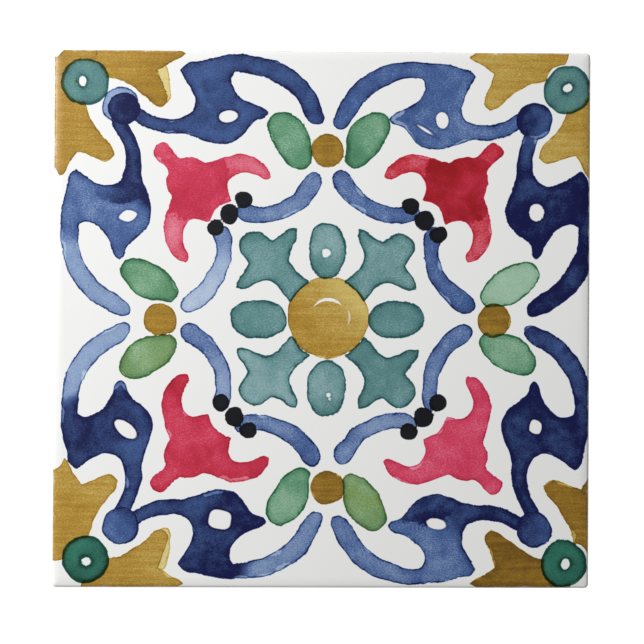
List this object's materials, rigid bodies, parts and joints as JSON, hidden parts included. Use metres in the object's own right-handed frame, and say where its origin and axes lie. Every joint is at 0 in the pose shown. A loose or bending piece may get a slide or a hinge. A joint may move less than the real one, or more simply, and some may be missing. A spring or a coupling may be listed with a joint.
{
  "type": "majolica wall tile",
  "caption": "Square cushion-edged earthenware wall tile, glazed white and painted with a four-fold flower and scroll ornament, for facing walls.",
  "frame": {"origin": "centre of the bedding plane at the back, which holds the faces of the ribs and of the plain margin", "axes": "+Z out of the glazed face, +X and +Y along the sides, with +Y towards the top edge of the picture"},
  "size_m": [0.152, 0.152, 0.0064],
  "materials": {
    "glazed_earthenware": "glossy tin-white glaze with painted colours on the face and upper sides, bare buff biscuit on the lower sides and back"
  },
  "bodies": {
    "root": {"tile": "glazed_earthenware"}
  },
  "joints": []
}
